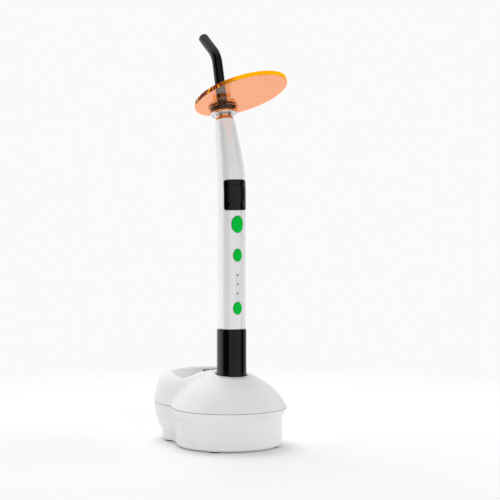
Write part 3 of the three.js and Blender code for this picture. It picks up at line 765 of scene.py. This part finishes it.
def lip_ring(x, y, z):
    """A low rounded ring round the handpiece, tipped forward."""
    lean, rise = math.sin(LIP["tilt"]), math.cos(LIP["tilt"])
    across = np.hypot(x, y * rise + z * lean - LIP["pivot_z"] * lean) - LIP["radius"]
    above = z * rise - y * lean - LIP["z"]
    away = np.hypot(across / LIP["half_width"], above / LIP["half_height"])
    return away * LIP["thickness"] - LIP["thickness"]


def cover_field(x, y, z):
    solid = base_solid(x, y, z)
    past_end = np.maximum(np.abs(x) - RIDGE["half_length"], 0)
    ridge = ellipsoid(past_end, y, z, RIDGE["centre"], RIDGE["radii"])
    outer = smooth_union(solid, ridge, RIDGE["blend"])
    outer = smooth_union(outer, lip_ring(x, y, z), LIP["blend"])
    dish = ellipsoid(x, y, z, DISH["centre"], DISH["radii"])
    hollow = np.maximum(solid + WALL, DISH["wall"] - dish)
    shell = smooth_cut(np.maximum(outer, -hollow), dish, DISH["blend"])
    return smooth_cut(shell, upright(x, y, (0, 0), SOCKET["radius"]), SOCKET["blend"])


def housing_field(x, y, z):
    solid = outer = base_solid(x, y, z)
    for foot in FEET:
        beyond = np.abs(z - FOOT_BOSS["z"]) - FOOT_BOSS["half_height"]
        boss = np.maximum(upright(x, y, foot, FOOT_BOSS["radius"]), beyond)
        outer = smooth_union(outer, boss, FOOT_BOSS["blend"])
    hollow = np.maximum(solid + WALL, FLOOR_HIGH - z)
    shell = np.maximum(outer, -hollow)
    for foot in FEET:
        pocket = np.maximum(upright(x, y, foot, FOOT_POCKET["radius"]), z - FOOT_POCKET["top"])
        shell = np.maximum(shell, -pocket)
    for post in POSTS:
        well = np.maximum(upright(x, y, post, SCREW_WELL["radius"]), z - SCREW_WELL["top"])
        shell = smooth_cut(shell, well, SCREW_WELL["blend"])
    jack = np.maximum(np.hypot(x, z - JACK_Z) - JACK_HOLE["radius"], JACK_HOLE["from_y"] - y)
    return smooth_cut(shell, jack, JACK_HOLE["blend"])


def half_shell(node, field, low, high, seam, keep_above):
    """A netted shell cut flat at the seam, its outer edge eased and its section closed."""
    points, faces = surface_net(field, low, high, NET_STEP)
    mesh = bpy.data.meshes.new(node)
    mesh.from_pydata(points.tolist(), [], faces.tolist())
    work = bmesh.new()
    work.from_mesh(mesh)
    bpy.data.meshes.remove(mesh)
    knots = [edge for edge in work.edges if len(edge.link_faces) > 2]
    bmesh.ops.collapse(work, edges=knots)
    geometry = work.verts[:] + work.edges[:] + work.faces[:]
    bmesh.ops.bisect_plane(work, geom=geometry, plane_co=(0, 0, seam), plane_no=(0, 0, 1),
                           clear_inner=keep_above, clear_outer=not keep_above)
    bmesh.ops.recalc_face_normals(work, faces=work.faces)
    rim = [edge for edge in work.edges if edge.is_boundary]
    # Ease the outer edge: a second ring, a little further on and a little further in.
    towards = -1 if keep_above else 1
    made = bmesh.ops.extrude_edge_only(work, edges=rim)["geom"]
    ring = {v for v in made if isinstance(v, bmesh.types.BMVert)}
    for vertex in ring:
        partner = [e.other_vert(vertex) for e in vertex.link_edges
                   if e.other_vert(vertex) not in ring]
        level = Vector((*partner[0].normal.xy, 0))
        if level.length > 1e-6:
            level.normalize()
        vertex.co += level * -EASE + Vector((0, 0, towards * EASE))
    open_edges = [edge for edge in work.edges if edge.is_boundary]
    bmesh.ops.triangle_fill(work, use_beauty=True, use_dissolve=False, edges=open_edges)
    bmesh.ops.recalc_face_normals(work, faces=work.faces)
    return unpacked(f"{node}_surface", work, finish_of(node), sharp=SHELL_SHARP)


def make_base_shells():
    node, seam = "upper_cover", SEAM_Z + SEAM_GAP / 2 + EASE
    low = (*NET_LOW[:2], seam - NET_MARGIN)
    cover = half_shell(node, cover_field, low, NET_HIGH, seam, True)
    half_x, half_y = BAR_HALF_X + GAP, BAR_HALF_Y + GAP
    cutters = [block("slot", (-half_x, STATUS_Y - half_y, STATUS_TOP - 1.8),
                     (half_x, STATUS_Y + half_y, STATUS_TOP + 4), finish_of(node), 0.2)]
    for x, radius in STATUS_LIGHTS.values():
        hole = [(0, 50), (radius + STATUS_GAP, 50), (radius + STATUS_GAP, 66), (0, 66)]
        cutters.append(turned("hole", hole, finish_of(node), at(x, STATUS_Y), count=32))
    cut_away(cover, cutters, SHELL_SHARP)
    stand_in(cover, node)
    node, seam = "lower_housing", SEAM_Z - SEAM_GAP / 2 - EASE
    high = (*NET_HIGH[:2], seam + NET_MARGIN)
    stand_in(half_shell(node, housing_field, NET_LOW, high, seam, False), node)


def make_base_fittings():
    turned_for("handpiece_socket", [
        (0, 13.7), (14.3, 13.7, 1.2), (14.3, 53.6, 0.3), (12.5, 53.6, 0.5), (12.5, 15.6, 1.0),
        (0, 15.6)])
    for node, (x, radius) in STATUS_LIGHTS.items():
        turned_for(node, [(0, 56), (radius, 56, 0.1), (radius, STATUS_TOP - 0.1, 0.3),
                          (0, STATUS_TOP)], at(x, STATUS_Y), count=32)
    bar = block("indicator_bar_surface", (-BAR_HALF_X, STATUS_Y - BAR_HALF_Y, STATUS_TOP - 1.5),
                (BAR_HALF_X, STATUS_Y + BAR_HALF_Y, STATUS_TOP), finish_of("indicator_bar"), 0.25)
    stand_in(bar, "indicator_bar")
    for i, (x, y) in enumerate(FEET):
        turned_for(f"foot_{i + 1}", [
            (0, 0), (3.0, 0, 0.2), (3.2, 0.25, 0.1), (3.5, 0.25, 0.1), (3.7, 0, 0.15),
            (4.4, 0, 0.5), (4.4, 1.9, 0.2), (0, 1.9)], at(x, y), count=48)
    for i, (x, y) in enumerate(POSTS):
        node = f"cover_screw_{i + 1}"
        screw = turned(f"{node}_surface", [
            (0, 1.6), (1.6, 1.6, 0.3), (2.5, 2.0, 0.3), (2.5, 2.9, 0.1), (1.0, 2.9, 0.2),
            (1.0, 13.6, 0.2), (0, 14.6)], finish_of(node), at(x, y), count=32)
        arms = [block("arm", (-a, -b, 1.0), (a, b, 2.3), finish_of(node), 0.1, at(x, y))
                for a, b in ((1.3, 0.3), (0.3, 1.3))]
        cut_away(screw, arms)
        stand_in(screw, node)


def make_power_jack():
    def along_y(points):
        x, y, z = np.asarray(points, float).T
        return on_axis(np.stack([x, z, y + JACK_Z], 1))

    node = "power_jack"
    shell = turned(f"{node}_surface", [
        (2.75, 84.4), (3.0, 84.6, 0.1), (4.05, 84.6, 0.5), (4.05, 79.3, 0.1),
        (5.2, 79.0, 0.2), (5.2, 67.2, 0.4), (1.6, 67.2, 0.1), (1.6, 72, 0.1), (2.75, 72, 0.1)],
        finish_of(node), along_y, count=48)
    pin = turned("power_jack_pin", [(0, 70), (0.85, 70, 0.1), (0.85, 83.4, 0.4), (0, 83.8)],
                 FINISHES["contact_brass"], along_y, count=24)
    stand_in(shell, node)
    add_on(pin, node)


# ---- battery pack ----

def make_battery_pack():
    inner = SLEEVE_R - 1.8
    plug = inner - GAP
    turned_for("battery_sleeve", [
        (inner, SLEEVE_LOW[2], 0.2), (SLEEVE_R, SLEEVE_LOW[2], 0.3),
        (SLEEVE_R, SLEEVE_HIGH[2], 0.35), (inner, SLEEVE_HIGH[2], 0.2)])
    bottom = PACK_LOW
    turned_for("battery_end_cap", [
        (2.5, bottom, 0.15), (5.7, bottom, 0.15), (5.7, bottom + 1.3, 0.1),
        (8.3, bottom + 1.3, 0.1), (8.3, bottom, 0.15), (SLEEVE_R, bottom, 1.0),
        (SLEEVE_R, bottom + 2, 0.2), (plug, bottom + 2, 0.1), (plug, 21.4, 0.3), (2.5, 21.4, 0.2)])
    turned_for("charge_contact_centre", [
        (0, bottom + 0.25), (0.8, bottom + 0.25, 0.2), (1.2, bottom, 0.2), (2.2, bottom, 0.3),
        (2.2, 21.4, 0.2), (0, 21.4)], count=48)
    turned_for("charge_contact_ring", [
        (6, bottom, 0.2), (8, bottom, 0.2), (8, bottom + 1, 0.1), (6, bottom + 1, 0.1)])
    low = extent("battery_head_cap")[0][2]
    turned_for("battery_head_cap", [
        (1.6, low, 0.1), (plug, low, 0.3), (plug, PACK_HIGH - 0.6, 0.2),
        (8.0, PACK_HIGH - 0.6, 0.2), (8.0, 97.4, 0.1), (7.6, 97.8, 0.1), (7.6, 98.4, 0.1),
        (8.0, 98.8, 0.1), (8.0, 101.4, 0.5), (3.2, 101.4, 0.3), (3.0, 101.0, 0.1),
        (1.6, 101.0, 0.1)])
    turned_for("battery_top_contact", [
        (0, low), (1.3, low, 0.1), (1.3, 102.0, 0.5), (0, 102.0)], count=40)


# ---- main body ----

def body_outline():
    """The body's wall: straight, then tapering along a smooth curve to the nose ring."""
    taper = spline([(BODY_R, 216), (10.97, 226), (10.38, 235.4), (9.33, 250), (8.5, 260),
                    (8.0, 263.9)], steps=6)
    lip = rounded([(8.0, 263.9), (7.85, BODY_HIGH, 0.35), (6.65, BODY_HIGH, 0.2),
                   (6.65, 263.4)], closed=False)
    inner = taper[::-4] - (BODY_WALL, 0)
    foot = rounded([(BODY_R - BODY_WALL, 110), (BODY_R - BODY_WALL, BODY_LOW, 0.2),
                    (BODY_R, BODY_LOW, 0.35), (BODY_R, 110)], closed=False)
    return refined(np.vstack([foot, taper, lip[1:], inner[1:]]), 2.0)


def opening(loop, centre_v, flare=0.35, gap=GAP):
    """A cutter through the wall whose mouth widens a little where it meets the surface."""
    half = np.abs(loop).max(0)
    grown = [(gap, CUT_LOW_R), (gap, BODY_R - 0.3), (gap + flare * 0.4, BODY_R - 0.06),
             (gap + flare, BODY_R + 0.1), (gap + flare, CUT_HIGH_R)]
    rings = [(loop * (1 + more / half), r) for more, r in grown]
    rings = [(loop * 0.0, CUT_LOW_R), *rings, (loop * 0.0, CUT_HIGH_R)]
    return wrapped("opening", rings, centre_v, finish_of("body_shell"))


def button_loop(button, grow=0.0):
    return ellipse_outline(button["half_u"] + grow, button["half_v"] + grow, 56)


def make_body_shell():
    shell = turned("body_shell_surface", body_outline(), finish_of("body_shell"), on_body,
                   count=160)
    cutters = [opening(box_outline(WINDOW), WINDOW["v"], 0.2)]
    cutters += [opening(button_loop(button), button["v"]) for button in BUTTONS.values()]
    cutters.append(opening(box_outline(PIPE, side=6), PIPE["v"], 0.04, 0.12))
    cut_away(shell, cutters)
    stand_in(shell, "body_shell")


def make_display():
    shift = (0, SCREEN["v"] - WINDOW["v"])
    rings = [(box_outline(WINDOW, grow), r) for grow, r in
             ((0, 10.0), (0, 11.25), (-0.08, 11.45), (-0.3, 11.6))]
    rings += [(box_outline(SCREEN, grow) + shift, r) for grow, r in
              ((0.5, 11.6), (0.34, 11.5), (0.3, 11.3), (0.3, 10.0))]
    bezel = wrapped("display_bezel_surface", rings, WINDOW["v"], finish_of("display_bezel"),
                    closed=True)
    stand_in(bezel, "display_bezel")
    pad_for("display_lens", box_outline(SCREEN), SCREEN["back"], SCREEN["rim"], SCREEN["top"],
            SCREEN["v"], shoulder=0.35)


def make_buttons():
    for name, button in BUTTONS.items():
        top = BODY_R + button["proud"]
        pad_for(f"{name}_button", button_loop(button), BUTTON_BACK, top - 0.45, top,
                button["v"], shoulder=0.9, flange=button_loop(button, BUTTON_FLANGE))


def make_mode_strip():
    node = "mode_light_pipe"
    top = PIPE["top"]
    pad_for(node, box_outline(PIPE, side=6), PIPE["back"], top - 0.12, top, PIPE["v"],
            shoulder=0.15)
    arrow = np.vstack([np.linspace(a, b, 5)[:-1]
                       for a, b in zip(MARK_ARROW, np.roll(MARK_ARROW, -1, 0))])
    rings = [(arrow * scale, top + rise) for scale, rise in
             ((0, -0.2), (1, -0.2), (1, 0.02), (0, 0.02))]
    for i, v in enumerate(MODE_MARKS):
        add_on(wrapped(f"mode_mark_{i + 1}", rings, v, FINISHES["mark_ink"]), node)


# ---- nose, light guide and shield ----

def make_nose_ring():
    turned_for("nose_ring", [
        (5.45, 44.3, 0.2), (6.3, 44.3, 0.2), (6.3, 47.9, 0.05), (7.4, 47.9, 0.15),
        (7.4, 48.2, 0.1), (6.5, 48.3, 0.1), (6.5, 49.9, 0.2), (6.2, 50.1, 0.1), (6.2, 51.6, 0.3),
        (8.3, 52.0, 0.15), (8.4, 52.5, 0.1), (8.8, 52.5, 0.1), (8.9, 52.0, 0.15),
        (10.4, 52.0, 0.2), (11.0, 52.4, 0.3), (11.0, 54.0, 0.4), (5.45, 54.0, 0.2),
        (5.45, 50.2, 0.1),
        (6.4, 50.0, 0.1), (6.4, 48.3, 0.1), (5.45, 48.1, 0.1)], on_nose)
    seal = turned("nose_seal", [
        (6.55, 48.35, 0.1), (7.35, 48.35, 0.35), (7.0, 49.85, 0.6), (6.55, 49.85, 0.1)],
        FINISHES["seal_orange"], on_nose)
    add_on(seal, "nose_ring")
    turned_for("guide_ferrule", [
        (4.5, 44.6, 0.1), (5.0, 44.6, 0.15), (5.0, 62.6, 0.15), (4.5, 62.6, 0.1)], on_nose)
    turned_for("guide_retaining_ring", [
        (5.3, 48.7, 0.3), (6.1, 48.7, 0.3), (6.1, 49.6, 0.3), (5.3, 49.6, 0.3)], on_nose)
    turned_for("shield_bush", [
        (5.3, 54.5, 0.2), (6.9, 54.5, 0.2), (6.9, 57.2, 0.1), (6.5, 57.5, 0.1),
        (6.5, 59.2, 0.1), (6.9, 59.5, 0.1), (6.9, 62.2, 0.3), (5.3, 62.2, 0.3)], on_nose)


def make_guide():
    turned_for("light_guide_sheath", [
        (CORE_R + CORE_GAP, GUIDE["low"], 0.05), (GUIDE_R, GUIDE["low"], 0.3),
        (GUIDE_R, GUIDE_HIGH, 0.35), (CORE_R + CORE_GAP, GUIDE_HIGH, 0.1)],
        on_guide, count=72, step=0.9)
    turned_for("light_guide_core", [
        (0, GUIDE["low"]), (CORE_R, GUIDE["low"], 0.1), (CORE_R, GUIDE_HIGH - CORE_GAP, 0.1),
        (0, GUIDE_HIGH - CORE_GAP)], on_guide, count=48, step=0.9)


def make_shield():
    """The oval plate and its hub in one piece, with eased edges."""
    circle = ellipse_outline(1, 1, ROUND * 2)
    radius, bore = HUB["radius"], HUB["bore"]

    def side(face, end, out):
        """Loops and their levels from the hub's bore, over its end, to the plate's rim."""
        hub = [(bore, end - 0.3 * out), (bore + 0.3, end), (radius - 0.4, end),
               (radius, end - 0.4 * out), (radius, face + 0.3 * out), (radius + 0.3, face),
               (radius + 1.0, face)]
        levels = [(circle * r, z) for r, z in hub]
        # How far the rim is inset, and how far below the plate's face.
        for inset, depth in ((1.2, 0), (0.5, 0), (0.15, 0.15), (0, 0.5)):
            half = (SHIELD["half_x"] - inset, SHIELD["half_y"] - inset)
            levels.append((circle * half - (0, SHIELD["forward"]), face - depth * out))
        return levels

    levels = side(SHIELD["low"], HUB["low"], -1) + side(SHIELD["high"], HUB["high"], 1)[::-1]
    rings = [np.column_stack([flat, np.full(len(flat), z)]) for flat, z in levels]
    node = "light_shield"
    shield = loft(f"{node}_surface", rings, finish_of(node), on_nose, sharp=50)
    shield.data.materials.append(FINISHES["amber_edge"])
    shield.data.materials.append(FINISHES["black_rubber"])
    axis, start = Vector(NOSE_AXIS), Vector(NOSE_POINT)
    for face in shield.data.polygons:
        sideways = abs(face.normal.dot(axis)) < 0.97
        arm = Vector(face.center) / MM - start
        reach = (arm - axis * arm.dot(axis)).length
        if sideways and reach < bore + 0.2:
            face.material_index = 2
        elif sideways and reach > radius + 6:
            face.material_index = 1
    # The studio lights the body as if the shield were not there.
    shield.visible_diffuse = False
    shield.visible_shadow = False
    stand_in(shield, node)


# ---- everything else keeps its CAD shape ----

def finish_carried_nodes():
    for node, thing in frame["nodes"].items():
        if thing.hide_render:
            continue
        thing.data.materials.clear()
        thing.data.materials.append(finish_of(node))


# ---- studio ----

VIEW_TURN = math.radians(28)  # the camera stands this far round to the object's right
VIEW_DROP = math.radians(2.215)
VIEW_DISTANCE = 1228.0
VIEW_SIDE = 14.92
VIEW_HEIGHT = 206.1
LENS = 109.66
# Degrees round from the camera, positive to its right, and the studio's brightness there.
STUDIO_BANDS = [(-180, 1.0), (-150, 1.1), (-90, 1.1), (-72, 0.7), (-64, 0.01), (-22, 0.01),
                (-16, 0.42), (70, 0.5), (86, 0.02), (104, 0.02), (116, 0.45), (160, 0.5),
                (180, 1.0)]
# Width, height, power in watts and place, in metres.
SOFTBOXES = [("softbox_top", 0.9, 0.9, 11.0, (0.05, 0.65, 1.3)),
             ("fill_right", 1.0, 0.4, 5.5, (1.2, -0.3, 0.4)),
             ("fill_front", 1.2, 0.6, 7.5, (-0.4, -1.4, 0.4)),
             ("fill_left", 1.0, 0.4, 2.5, (-1.2, -0.1, 0.1))]


def aimed(name, data, spot, direction):
    """A camera or lamp at the spot, in metres, facing the direction."""
    thing = bpy.data.objects.new(name, data)
    thing.location = spot
    thing.rotation_mode = "QUATERNION"
    thing.rotation_quaternion = direction.to_track_quat("-Z", "Y")
    bpy.context.scene.collection.objects.link(thing)
    return thing


def make_camera():
    back = Vector((-math.sin(VIEW_TURN), -math.cos(VIEW_TURN), 0))
    right = Vector((math.cos(VIEW_TURN), -math.sin(VIEW_TURN), 0))
    spot = Vector((0, AXIS_Y, VIEW_HEIGHT)) + back * VIEW_DISTANCE + right * VIEW_SIDE
    ahead = -back * math.cos(VIEW_DROP) - Vector((0, 0, math.sin(VIEW_DROP)))
    data = bpy.data.cameras.new("camera")
    data.lens = LENS
    data.clip_start, data.clip_end = 0.05, 20
    bpy.context.scene.camera = aimed("camera", data, spot * MM, ahead)


def make_floor():
    work = bmesh.new()
    bmesh.ops.create_circle(work, cap_ends=True, segments=96, radius=1.2)
    mesh = bpy.data.meshes.new("floor")
    work.to_mesh(mesh)
    work.free()
    nodes = Finish("floor_paper")
    nodes.set(Base_Color=(0.79, 0.79, 0.79, 1), Roughness=0.9, Specular_IOR_Level=0.1,
              Emission_Color=(1, 1, 1, 1), Emission_Strength=0.075)
    # The floor fades into the backdrop some way from the object.
    gradient = nodes.add("ShaderNodeTexGradient", gradient_type="SPHERICAL",
                         Vector=nodes.stretched((1.9, 1.9, 1.9)))
    nodes.set(Alpha=nodes.ranged(gradient.outputs["Fac"], 0, 1, 0.0, 0.5))
    floor = finish_object("floor", mesh, nodes.material)


def make_world():
    """A white studio with a dark gap on each side of the camera."""
    world = bpy.data.worlds.new("studio")
    bpy.context.scene.world = world
    world.use_nodes = True
    world.node_tree.nodes.clear()
    nodes = Nodes(world.node_tree)
    place = nodes.add("ShaderNodeTexCoord").outputs["Generated"]
    turn = nodes.add("ShaderNodeMapping", Rotation=(0, 0, VIEW_TURN), Vector=place)
    x, y, z = nodes.add("ShaderNodeSeparateXYZ", Vector=turn.outputs["Vector"]).outputs
    around = nodes.maths("ARCTAN2", x, nodes.maths("MULTIPLY", y, -1.0))
    bands = nodes.add("ShaderNodeValToRGB", Fac=nodes.ranged(around, 0, 1, -math.pi, math.pi))
    ramp = bands.color_ramp
    while len(ramp.elements) < len(STUDIO_BANDS):
        ramp.elements.new(0.5)
    for element, (degrees, level) in zip(ramp.elements, STUDIO_BANDS):
        element.position = (degrees + 180) / 360
        element.color = (level / 2, level / 2, level / 2, 1)
    gain = nodes.add("ShaderNodeVectorMath", operation="SCALE", Scale=2.0)
    nodes.give(gain.inputs[0], bands.outputs["Color"])
    # Overhead and underfoot the bands give way to an even light.
    even = nodes.ranged(nodes.maths("ABSOLUTE", z), 0, 1, 0.8, 0.97, "SMOOTHSTEP")
    # The studio lights matt surfaces less than it shows in glossy ones, so that shadows stay.
    rays = nodes.add("ShaderNodeLightPath").outputs
    studio = nodes.add("ShaderNodeBackground", Color=nodes.mixed(even, gain.outputs[0], 1.0),
                       Strength=nodes.ranged(rays["Is Diffuse Ray"], 1.0, 0.85, 0, 1))
    backdrop = nodes.add("ShaderNodeBackground", Color=(0.956, 0.956, 0.956, 1))
    straight = nodes.maths("MAXIMUM", rays["Is Camera Ray"], rays["Is Transmission Ray"])
    choose = nodes.add("ShaderNodeMixShader", Fac=straight)
    nodes.give(choose.inputs[1], studio.outputs[0])
    nodes.give(choose.inputs[2], backdrop.outputs[0])
    nodes.add("ShaderNodeOutputWorld", Surface=choose.outputs[0])


def make_lamps():
    """Softboxes aimed at the object. Glossy surfaces don't show them."""
    for name, width, height, energy, spot in SOFTBOXES:
        lamp = bpy.data.lights.new(name, "AREA")
        lamp.shape = "RECTANGLE"
        lamp.size, lamp.size_y = width, height
        lamp.energy = energy
        holder = aimed(name, lamp, spot, Vector((0, 0, 0.1)) - Vector(spot))
        holder.visible_glossy = False


bpy.context.scene.view_settings.view_transform = "Standard"
make_camera()
make_floor()
make_world()
make_lamps()

make_base_shells()
make_base_fittings()
make_power_jack()
make_battery_pack()
make_body_shell()
make_display()
make_buttons()
make_mode_strip()
make_nose_ring()
make_guide()
make_shield()
finish_carried_nodes()
